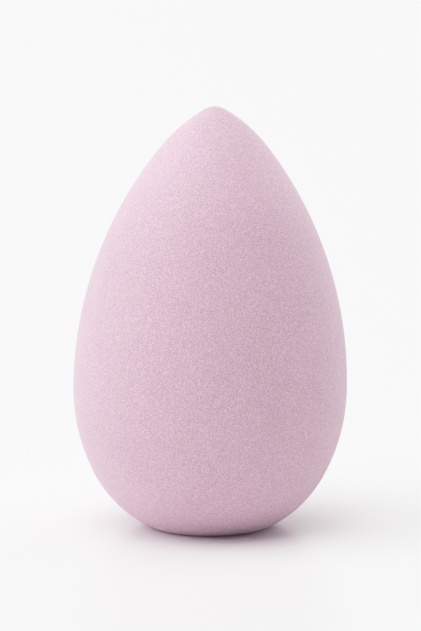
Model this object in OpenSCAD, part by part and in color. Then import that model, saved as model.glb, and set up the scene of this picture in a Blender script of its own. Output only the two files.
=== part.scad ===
// Teardrop makeup sponge: one piece of fine-celled foam, round and full below,
// drawn up to a soft point, standing on a small flat foot.
// Millimetres, +Z up. The origin is on the foot's plane, under the middle of the widest ring.
//
// The outline is five arcs that meet without a corner: the heel and the wall under the
// widest ring, then the flank, the shoulder and the tip above it. The flank's and the
// wall's radii follow from the height, the foot and the radii they run into.

/* [Body] */
// Diameter of the widest ring
body_d = 40; // [36:0.5:44]
// Height from the foot to the tip
body_h = 61.7; // [57:0.1:68]
// Height of the widest ring over the foot
belly_h = 20.5; // [18:0.1:23]

/* [Upper half] */
// Radius of the soft point at the top
tip_r = 3; // [2:0.1:5]
// Radius of the shoulder that closes in on the tip
shoulder_r = 25.5; // [20:0.5:32]
// Angle that the long flank turns through above the widest ring
flank_sweep = 38; // [30:0.5:44]

/* [Lower half] */
// Diameter of the flat foot
foot_d = 18.2; // [14:0.1:22]
// Radius of the heel that rolls under to the foot
heel_r = 18; // [15:0.5:20]
// Angle that the wall turns through between the widest ring and the heel
wall_sweep = 26.5; // [20:0.5:34]

/* [Stance] */
// Lean of the body over its foot, towards +X
lean_angle = 1.1; // [0:0.1:3]

/* [Hidden] */

// Dusty pink foam
foam_colour = [0.85, 0.71, 0.78];
// Largest turn of the outline between two of its points, in degrees
arc_step = 3;
$fn = 144;

belly_r = body_d / 2;
// Centre of the tip's arc, over the widest ring
tip_z = body_h - belly_h - tip_r;

// Each half leaves the widest ring upright on a large arc, turns through a sweep and runs
// on, tangent, into an arc of end_r. This is how much larger the first radius is than
// end_r when the second arc's centre lies at a distance reach from the point [x, z].
function extra_radius(sweep, end_r, reach, x, z) =
    let (
        back = 1 - cos(sweep),
        along = belly_r - end_r - x,
        half_b = back * along + sin(sweep) * z,
        rest = along * along + z * z - reach * reach
    )
    (half_b - sqrt(half_b * half_b - 2 * back * rest)) / (2 * back);

// The shoulder's arc takes in the tip's arc, so it passes the tip's centre at the
// difference of their radii
flank_extra = extra_radius(flank_sweep, shoulder_r, shoulder_r - tip_r, 0, tip_z);
flank_r = shoulder_r + flank_extra;
shoulder_centre = [
    belly_r - flank_r + flank_extra * cos(flank_sweep),
    flank_extra * sin(flank_sweep)
];
shoulder_end = atan2(tip_z - shoulder_centre.y, -shoulder_centre.x);

// The heel's arc passes through the foot's rim
wall_extra = extra_radius(wall_sweep, heel_r, heel_r, foot_d / 2, belly_h);
wall_r = heel_r + wall_extra;
heel_centre = [
    belly_r - wall_r + wall_extra * cos(wall_sweep),
    -wall_extra * sin(wall_sweep)
];
// The heel's arc ends level under its own centre, or at the axis where that comes first
heel_end = min(90, acos(-heel_centre.x / heel_r));

// Points of an arc between two angles over the horizon, without its first point,
// which the arc before it ends on
function arc_points(centre, radius, from, to) =
    let (steps = ceil((to - from) / arc_step))
    [
        for (i = [1 : steps])
            let (angle = from + (to - from) * i / steps)
            centre + radius * [cos(angle), sin(angle)]
    ];

// Half outline, from the axis under the heel up to the tip, with the widest ring at zero
heel_start = heel_centre + heel_r * [cos(heel_end), -sin(heel_end)];
outline = concat(
    [[0, heel_start.y], heel_start],
    arc_points(heel_centre, heel_r, -heel_end, -wall_sweep),
    arc_points([belly_r - wall_r, 0], wall_r, -wall_sweep, 0),
    arc_points([belly_r - flank_r, 0], flank_r, 0, flank_sweep),
    arc_points(shoulder_centre, shoulder_r, flank_sweep, shoulder_end),
    arc_points([0, tip_z], tip_r, shoulder_end, 90)
);

// The teardrop, leaning about the middle of its widest ring
module teardrop() {
    translate([0, 0, belly_h])
        rotate([0, lean_angle, 0])
            rotate_extrude()
                polygon(outline);
}

// All that lies under the foot's plane
module below_foot() {
    translate([-body_d / 2, -body_d / 2, -belly_h])
        cube([body_d, body_d, belly_h]);
}

module foam_body() {
    color(foam_colour)
        difference() {
            teardrop();
            below_foot();
        }
}

foam_body();
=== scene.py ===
"""A teardrop makeup sponge of fine-celled foam, standing on its flat foot on a white floor."""

import math

import bpy
import numpy as np
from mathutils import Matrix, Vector, noise


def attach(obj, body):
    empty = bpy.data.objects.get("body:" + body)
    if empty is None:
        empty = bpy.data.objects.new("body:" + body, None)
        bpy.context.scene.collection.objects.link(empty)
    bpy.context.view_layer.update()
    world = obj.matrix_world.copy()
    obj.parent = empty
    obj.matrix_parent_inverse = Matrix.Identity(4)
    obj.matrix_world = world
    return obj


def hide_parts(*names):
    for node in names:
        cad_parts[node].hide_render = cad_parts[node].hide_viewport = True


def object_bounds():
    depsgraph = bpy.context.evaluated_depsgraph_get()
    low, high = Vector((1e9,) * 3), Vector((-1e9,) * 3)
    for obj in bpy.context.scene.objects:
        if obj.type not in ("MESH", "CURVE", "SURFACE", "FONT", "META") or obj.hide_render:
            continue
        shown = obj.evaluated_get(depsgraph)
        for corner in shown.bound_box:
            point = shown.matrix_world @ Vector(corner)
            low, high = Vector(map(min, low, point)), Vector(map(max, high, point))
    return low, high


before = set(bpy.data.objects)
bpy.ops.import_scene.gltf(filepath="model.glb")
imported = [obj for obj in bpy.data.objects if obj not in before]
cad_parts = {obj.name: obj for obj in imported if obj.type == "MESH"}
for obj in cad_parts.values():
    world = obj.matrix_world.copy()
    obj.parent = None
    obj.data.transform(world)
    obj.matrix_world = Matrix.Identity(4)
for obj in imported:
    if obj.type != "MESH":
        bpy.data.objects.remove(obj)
cad_low, cad_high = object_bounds()

MM = 0.001
WHITE = (1, 1, 1, 1)

# The body's outline is five arcs that meet without a corner, as in the CAD solid: heel,
# wall, flank, shoulder and tip. The foot, the shoulder, the tip and the lean follow the
# photograph a little closer than the solid does, by less than 0.2 mm over the skin.
BODY_R = (cad_high.y - cad_low.y) / 2
BODY_H = cad_high.z - cad_low.z
BELLY_H = 20.5 * MM
FOOT_R = 8.9 * MM
TIP_R = 2.85 * MM
SHOULDER_R = 23.4 * MM
FLANK_SWEEP = math.radians(38)
HEEL_R = 18 * MM
WALL_SWEEP = math.radians(26.5)
LEAN = math.radians(1.16)
# The tip's end is bent over to the left by a hair, from this height up
TIP_BEND = 0.16 * MM
TIP_BEND_FROM = 59.2 * MM
# Height over which the heel eases into the flat foot
FOOT_EASE = 0.25 * MM
# Points along each of the arcs
ARC_POINTS = 400

# Quads along each side of the six faces of the cube that the body's net is blown up from,
# and the decimal places to which points on the cube's edges agree with their twins
NET_SIDE = 128
TWIN_PLACES = 9

# Unevenness of the skin: the size of its humps and of the smaller lumps, and how far they
# rise. The lumps' noise is shifted, so that it doesn't repeat the humps'. Both fade out
# towards the foot, from UNEVEN_FROM down.
HUMP_SIZE = 1.4 * MM
HUMP_RISE = 0.005 * MM
LUMP_SIZE = 0.8 * MM
LUMP_RISE = 0.004 * MM
LUMP_SHIFT = (7, 11, 13)
UNEVEN_FROM = 1 * MM

# The foam's fine relief: pores, turned so that no rows of them line up along the skin,
# and grain on top. The shares say how much of the relief each one makes.
PORE_SIZE = 0.18 * MM
PORE_TURN = (math.radians(35), math.radians(25), math.radians(40))
PORE_SCATTER = 0.9
PORE_SHARE = 0.8
GRAIN_SIZE = 0.14 * MM
GRAIN_SHARE = 0.2
RELIEF_DEPTH = 0.05 * MM

# How the relief is painted: the heights of the pits and of the crests, with their looks. The pits'
# darker, pinker colour is painted shade that falls into the pores; the crests have the foam's own
# colour.
PIT = 0.25
PIT_PAINTED_SHADE = (0.448, 0.26, 0.337)
PIT_ROUGHNESS = 1
CREST = 0.65
CREST_COLOUR = (0.75, 0.472, 0.601)
CREST_ROUGHNESS = 0.9

# A faint mottle: its size, the levels of its noise that it runs between, and its strength
MOTTLE_SIZE = 6 * MM
MOTTLE_LEVELS = (0.3, 0.7)
MOTTLE_SHADE = 0.012

# Painted light: the tip's colour is painted paler than the body's from one height to another, for the
# light that the thin tip lets through
TIP_PAINTED_LIGHT = 0.11
TIP_PAINTED_LIGHT_FROM = 42 * MM
TIP_PAINTED_LIGHT_TO = 55 * MM

# The velvety sheen of the fine cell walls
FUZZ = 0.35
FUZZ_ROUGHNESS = 0.5

# The floor: half its side in metres, its brightness, and its soft gloss
FLOOR_REACH = 3
FLOOR_SHADE = 0.94
FLOOR_GLOSS = 0.8
FLOOR_GLOSS_ROUGHNESS = 0.3
FLOOR_GLOSS_IOR = 1.5

# Soft lamps, each as wide as LAMP_WIDTH seen from the sponge: name, direction over the
# floor (0 from the camera's side, 90 from the right), angle above it, and strength
LAMP_WIDTH = math.radians(60)
LAMPS = [
    ("back_left", 210, 12, 0.37),
    ("back_right", 150, 12, 0.34),
    ("right", 120, 12, 0.38),
    ("left", 270, 12, 0.75),
    ("front_high", 300, 60, 0.60),
    ("top", 0, 90, 0.785),
]
# The studio wall glows at the horizon and is dim from GLOW_TOP above it
WALL_GLOW = 1.8
WALL_DIM = 0.05
GLOW_TOP = math.radians(3.8)

# Film response: even in dim light, and ever less in bright light, up to BRIGHTEST, which
# is white. It bends over around FILM_BEND, and more sharply for a higher FILM_SHARPNESS.
# The curve is laid through FILM_STEPS equal steps of light.
BRIGHTEST = 2
FILM_BEND = 1.07
FILM_SHARPNESS = 1.6
FILM_STEPS = 10
# Place of the curve that holds for red, green and blue together
ALL_COLOURS = 3

# Camera: angle over the floor, distance from the point it looks at, and that point
CAMERA_ELEVATION = math.radians(9.64)
CAMERA_DISTANCE = 0.6
CAMERA_LOOKS_AT = (0.047 * MM, 0, 31.01 * MM)
CAMERA_NEAR = 0.01
CAMERA_FAR = 20
# Focal length and picture height in pixels, and the sensor's long side in millimetres,
# which lies along that height
FOCAL_PIXELS = 4116
PICTURE_H_PIXELS = 631
SENSOR_LONG_SIDE = 36


def extra_radius(sweep, end_r, reach, x, z):
    """How much larger the arc that leaves the widest ring is than the arc of end_r after it.

    The first arc starts upright and turns through sweep. The second one's centre lies at
    the distance reach from a point x from the axis and z over, or under, the widest ring.
    """
    back = 1 - math.cos(sweep)
    along = BODY_R - end_r - x
    half_b = back * along + math.sin(sweep) * z
    rest = along * along + z * z - reach * reach
    return (half_b - math.sqrt(half_b * half_b - 2 * back * rest)) / (2 * back)


def arc(centre, radius, start, end):
    """Points of an arc between two angles over the horizon."""
    angles = np.linspace(start, end, ARC_POINTS)
    return np.stack([centre[0] + radius * np.cos(angles), centre[1] + radius * np.sin(angles)], axis=1)


def half_outline():
    """The outline from under the heel up to the tip, with the widest ring at height 0.

    Each point is a distance from the axis and a height.
    """
    tip_z = BODY_H - BELLY_H - TIP_R
    flank_extra = extra_radius(FLANK_SWEEP, SHOULDER_R, SHOULDER_R - TIP_R, 0, tip_z)
    flank_r = SHOULDER_R + flank_extra
    flank_x = BODY_R - flank_r
    shoulder = (flank_x + flank_extra * math.cos(FLANK_SWEEP), flank_extra * math.sin(FLANK_SWEEP))
    shoulder_end = math.atan2(tip_z - shoulder[1], -shoulder[0])
    wall_extra = extra_radius(WALL_SWEEP, HEEL_R, HEEL_R, FOOT_R, BELLY_H)
    wall_r = HEEL_R + wall_extra
    wall_x = BODY_R - wall_r
    heel = (wall_x + wall_extra * math.cos(WALL_SWEEP), -wall_extra * math.sin(WALL_SWEEP))
    return np.concatenate([
        [(0, heel[1] - HEEL_R)],
        arc(heel, HEEL_R, -math.pi / 2, -WALL_SWEEP),
        arc((wall_x, 0), wall_r, -WALL_SWEEP, 0)[1:],
        arc((flank_x, 0), flank_r, 0, FLANK_SWEEP)[1:],
        arc(shoulder, SHOULDER_R, FLANK_SWEEP, shoulder_end)[1:],
        arc((0, tip_z), TIP_R, shoulder_end, math.pi / 2)[1:],
    ])


def cube_net(side):
    """Points of a cube's faces blown up to a unit ball, and the quads between them."""
    turns = np.tan(np.linspace(-1, 1, side + 1) * math.pi / 4)
    u, v = np.meshgrid(turns, turns, indexing="ij")
    one = np.ones_like(u)
    faces = [(one, u, v), (-one, v, u), (v, one, u), (u, -one, v), (u, v, one), (v, u, -one)]
    points = np.concatenate([np.stack(face, axis=-1).reshape(-1, 3) for face in faces])
    points /= np.linalg.norm(points, axis=1)[:, None]
    corner = np.arange(side)[:, None] * (side + 1) + np.arange(side)[None, :]
    around = [corner, corner + side + 1, corner + side + 2, corner + 1]
    quads_of_face = np.stack(around, axis=-1).reshape(-1, len(around))
    quads = np.concatenate([quads_of_face + k * (side + 1) ** 2 for k in range(len(faces))])
    # Twin points where two faces meet become one
    rounded = np.round(points, TWIN_PLACES)
    _, first, place = np.unique(rounded, axis=0, return_index=True, return_inverse=True)
    return points[first], place.reshape(-1)[quads]


def body_points(ball):
    """The unit ball's points laid on the leaning body, with the foot pressed flat."""
    outline = half_outline()
    steps = np.linalg.norm(np.diff(outline, axis=0), axis=1)
    along = np.concatenate([[0], np.cumsum(steps)])
    polar = np.arccos(np.clip(-ball[:, 2], -1, 1)) / math.pi * along[-1]
    radius = np.interp(polar, along, outline[:, 0])
    height = np.interp(polar, along, outline[:, 1])
    # A point on the axis has no direction, and 1 keeps it there
    ring = np.hypot(ball[:, 0], ball[:, 1])
    ring[ring == 0] = 1
    x = radius * ball[:, 0] / ring
    y = radius * ball[:, 1] / ring
    leaning_x = x * math.cos(LEAN) + height * math.sin(LEAN)
    leaning_z = height * math.cos(LEAN) - x * math.sin(LEAN) + BELLY_H
    bend = np.clip((leaning_z - TIP_BEND_FROM) / (BODY_H - TIP_BEND_FROM), 0, 1) ** 2
    leaning_x -= TIP_BEND * bend
    pressed_z = (leaning_z + np.sqrt(leaning_z ** 2 + FOOT_EASE ** 2)) / 2
    return np.stack([leaning_x, y, pressed_z], axis=1)


def uneven(points, ball):
    """The skin's points moved in and out by noise that is the same each run."""
    rise = np.empty(len(points))
    for i, point in enumerate(points.tolist()):
        spot = Vector(point)
        hump = noise.noise(spot / HUMP_SIZE)
        lump = noise.noise(spot / LUMP_SIZE + Vector(LUMP_SHIFT))
        rise[i] = HUMP_RISE * hump + LUMP_RISE * lump
    rise *= np.clip(points[:, 2] / UNEVEN_FROM, 0, 1)
    return points + ball * rise[:, None]


def make_sponge():
    """The foam body as one closed net of quads with a slightly uneven skin."""
    ball, quads = cube_net(NET_SIDE)
    points = uneven(body_points(ball), ball)
    mesh = bpy.data.meshes.new("sponge")
    mesh.from_pydata(points.tolist(), [], quads.tolist())
    mesh.update()
    mesh.shade_smooth()
    mesh.materials.append(foam_material())
    sponge = bpy.data.objects.new("sponge", mesh)
    bpy.context.collection.objects.link(sponge)
    return sponge


def start_material(name):
    """A new node material, with its tree's nodes, link function and shader."""
    material = bpy.data.materials.new(name)
    material.use_nodes = True
    nodes = material.node_tree.nodes
    return material, nodes, material.node_tree.links.new, nodes["Principled BSDF"]


def set_inputs(node, values):
    """Sets the named inputs of a node."""
    for name, value in values.items():
        node.inputs[name].default_value = value


def noise_level(nodes, link, place, size, detail):
    """The level of a noise of the given size in the foam."""
    texture = nodes.new("ShaderNodeTexNoise")
    set_inputs(texture, {"Scale": 1 / size, "Detail": detail})
    link(place.outputs["Object"], texture.inputs["Vector"])
    return texture.outputs["Fac"]


def map_range(nodes, link, level, source, target):
    """A level mapped smoothly from one range of values to another."""
    node = nodes.new("ShaderNodeMapRange")
    node.interpolation_type = "SMOOTHSTEP"
    set_inputs(node, {
        "From Min": source[0],
        "From Max": source[1],
        "To Min": target[0],
        "To Max": target[1],
    })
    link(level, node.inputs["Value"])
    return node.outputs["Result"]


def worked_out(nodes, link, operation, *values):
    """The result of an operation on levels, plain numbers or both."""
    node = nodes.new("ShaderNodeMath")
    node.operation = operation
    for socket, value in zip(node.inputs, values):
        if isinstance(value, bpy.types.NodeSocket):
            link(value, socket)
        else:
            socket.default_value = value
    return node.outputs["Value"]


def colour_ramp(nodes, link, level, stops):
    """The colour for a level, from the given places and colours."""
    ramp = nodes.new("ShaderNodeValToRGB")
    elements = ramp.color_ramp.elements
    while len(elements) < len(stops):
        elements.new(1)
    for element, (place, colour) in zip(elements, stops):
        element.position = place
        element.color = (*colour, 1)
    link(level, ramp.inputs["Fac"])
    return ramp.outputs["Color"]


def foam_relief(nodes, link, place):
    """Height of the fine relief: low in the middle of each pore, high between pores."""
    turn = nodes.new("ShaderNodeMapping")
    set_inputs(turn, {"Rotation": PORE_TURN})
    link(place.outputs["Object"], turn.inputs["Vector"])
    pores = nodes.new("ShaderNodeTexVoronoi")
    set_inputs(pores, {"Scale": 1 / PORE_SIZE, "Randomness": PORE_SCATTER})
    link(turn.outputs["Vector"], pores.inputs["Vector"])
    grain = noise_level(nodes, link, place, GRAIN_SIZE, detail=0)
    grain_part = worked_out(nodes, link, "MULTIPLY", grain, GRAIN_SHARE)
    return worked_out(nodes, link, "MULTIPLY_ADD", pores.outputs["Distance"], PORE_SHARE, grain_part)


def mottle_and_painted_tip_light(nodes, link, place):
    """How pale the foam is from place to place: a faint mottle, and painted light that makes the tip
    paler.
    """
    mottle = noise_level(nodes, link, place, MOTTLE_SIZE, detail=1)
    cloud = map_range(nodes, link, mottle, MOTTLE_LEVELS, (1 - MOTTLE_SHADE, 1 + MOTTLE_SHADE))
    axes = nodes.new("ShaderNodeSeparateXYZ")
    link(place.outputs["Object"], axes.inputs["Vector"])
    # Painted light: the tip is painted paler towards its end
    tip = map_range(nodes, link, axes.outputs["Z"], (TIP_PAINTED_LIGHT_FROM, TIP_PAINTED_LIGHT_TO), (1, 1 + TIP_PAINTED_LIGHT))
    return worked_out(nodes, link, "MULTIPLY", cloud, tip)


def foam_material():
    """Matte velvety foam: fine relief as bump, painted shade in the pits, a faint mottle and painted
    light on the tip.
    """
    material, nodes, link, shader = start_material("sponge_foam")
    set_inputs(shader, {
        "Specular IOR Level": 0,
        "Sheen Weight": FUZZ,
        "Sheen Roughness": FUZZ_ROUGHNESS,
        "Sheen Tint": WHITE,
    })
    place = nodes.new("ShaderNodeTexCoord")
    relief = foam_relief(nodes, link, place)

    bump = nodes.new("ShaderNodeBump")
    set_inputs(bump, {"Strength": 1, "Distance": RELIEF_DEPTH})
    link(relief, bump.inputs["Height"])
    link(bump.outputs["Normal"], shader.inputs["Normal"])

    colour = nodes.new("ShaderNodeVectorMath")
    colour.operation = "SCALE"
    # Painted shade: the colour darkens from the crests' towards the pits', for the shade in the pores
    stops = [(PIT, PIT_PAINTED_SHADE), (CREST, CREST_COLOUR)]
    link(colour_ramp(nodes, link, relief, stops), colour.inputs["Vector"])
    link(mottle_and_painted_tip_light(nodes, link, place), colour.inputs["Scale"])
    link(colour.outputs["Vector"], shader.inputs["Base Color"])

    roughness = map_range(nodes, link, relief, (PIT, CREST), (PIT_ROUGHNESS, CREST_ROUGHNESS))
    link(roughness, shader.inputs["Roughness"])
    return material


def floor_material():
    """White board with a soft gloss, which is the coat's alone."""
    material, _, _, shader = start_material("floor_white")
    set_inputs(shader, {
        "Base Color": (FLOOR_SHADE, FLOOR_SHADE, FLOOR_SHADE, 1),
        "Roughness": 1,
        "Specular IOR Level": 0,
        "Coat Weight": FLOOR_GLOSS,
        "Coat Roughness": FLOOR_GLOSS_ROUGHNESS,
        "Coat IOR": FLOOR_GLOSS_IOR,
    })
    return material


def make_floor():
    """A large square floor, with the sponge standing in its middle."""
    corners = [(-1, -1), (1, -1), (1, 1), (-1, 1)]
    mesh = bpy.data.meshes.new("floor")
    mesh.from_pydata([(x * FLOOR_REACH, y * FLOOR_REACH, 0) for x, y in corners], [], [(0, 1, 2, 3)])
    mesh.materials.append(floor_material())
    floor = bpy.data.objects.new("floor", mesh)
    bpy.context.collection.objects.link(floor)


def make_camera():
    """The camera, which looks down on the sponge at the photograph's angle."""
    data = bpy.data.cameras.new("camera")
    data.sensor_width = SENSOR_LONG_SIDE
    data.lens = FOCAL_PIXELS * SENSOR_LONG_SIDE / PICTURE_H_PIXELS
    data.clip_start = CAMERA_NEAR
    data.clip_end = CAMERA_FAR
    camera = bpy.data.objects.new("camera", data)
    bpy.context.collection.objects.link(camera)
    back = Vector((0, -math.cos(CAMERA_ELEVATION), math.sin(CAMERA_ELEVATION)))
    camera.location = Vector(CAMERA_LOOKS_AT) + CAMERA_DISTANCE * back
    camera.rotation_mode = "QUATERNION"
    camera.rotation_quaternion = (-back).to_track_quat("-Z", "Y")
    bpy.context.scene.camera = camera


def make_lamp(name, azimuth, elevation, strength):
    """A wide soft lamp that shines from the given direction, in degrees."""
    azimuth = math.radians(azimuth)
    elevation = math.radians(elevation)
    level = math.cos(elevation)
    towards = Vector((math.sin(azimuth) * level, -math.cos(azimuth) * level, math.sin(elevation)))
    data = bpy.data.lights.new(name, "SUN")
    data.angle = LAMP_WIDTH
    data.energy = math.pi * strength
    lamp = bpy.data.objects.new(name, data)
    lamp.rotation_mode = "QUATERNION"
    lamp.rotation_quaternion = towards.to_track_quat("Z", "Y")
    bpy.context.collection.objects.link(lamp)


def make_wall():
    """The world as a plain white studio wall that is brightest at the horizon."""
    world = bpy.data.worlds.new("wall")
    bpy.context.scene.world = world
    world.use_nodes = True
    nodes = world.node_tree.nodes
    link = world.node_tree.links.new
    background = nodes["Background"]
    background.inputs["Color"].default_value = WHITE
    direction = nodes.new("ShaderNodeTexCoord")
    axes = nodes.new("ShaderNodeSeparateXYZ")
    link(direction.outputs["Generated"], axes.inputs["Vector"])
    glow = map_range(nodes, link, axes.outputs["Z"], (0, math.sin(GLOW_TOP)), (WALL_GLOW, WALL_DIM))
    link(glow, background.inputs["Strength"])


def film_response(light):
    """How strongly the film answers to light."""
    return light / (1 + (light / FILM_BEND) ** FILM_SHARPNESS) ** (1 / FILM_SHARPNESS)


def set_film():
    """The picture's tone: nearly true up to the mid tones, then easing towards white."""
    view = bpy.context.scene.view_settings
    view.view_transform = "Standard"
    view.use_curve_mapping = True
    mapping = view.curve_mapping
    mapping.white_level = (BRIGHTEST, BRIGHTEST, BRIGHTEST)
    # The curve has its first and last point already
    points = mapping.curves[ALL_COLOURS].points
    for step in range(1, FILM_STEPS):
        share = step / FILM_STEPS
        points.new(share, film_response(share * BRIGHTEST) / film_response(BRIGHTEST))
    mapping.update()


make_camera()
make_floor()
make_wall()
for lamp in LAMPS:
    make_lamp(*lamp)
set_film()
sponge = make_sponge()
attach(sponge, "root")
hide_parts("foam_body")
